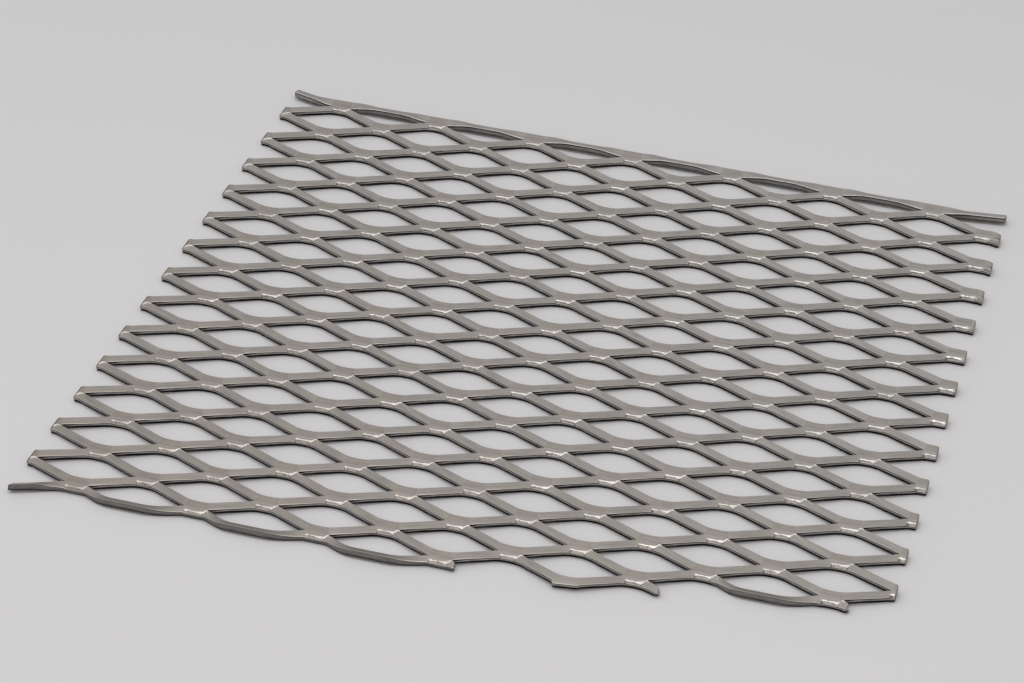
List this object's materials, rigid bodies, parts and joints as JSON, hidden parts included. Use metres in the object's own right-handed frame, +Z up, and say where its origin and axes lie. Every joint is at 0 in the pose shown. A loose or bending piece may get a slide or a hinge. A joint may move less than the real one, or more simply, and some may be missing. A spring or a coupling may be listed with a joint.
{
  "type": "expanded metal sheet",
  "caption": "Flat sheet of raised expanded steel with long diamond openings, tilted strands, cut tips on two sides and a stepped front edge.",
  "frame": {"origin": "under the middle of the sheet, at the level of the floor that it lies on", "axes": "+X along the long way of the diamonds, +Y towards the rear edge strand, +Z up"},
  "size_m": [0.2874, 0.2766, 0.0035],
  "materials": {
    "bare_steel": "bare mill steel, satin, with burnished edges at the bonds"
  },
  "bodies": {
    "root": {"expanded_sheet": "bare_steel"}
  },
  "joints": []
}
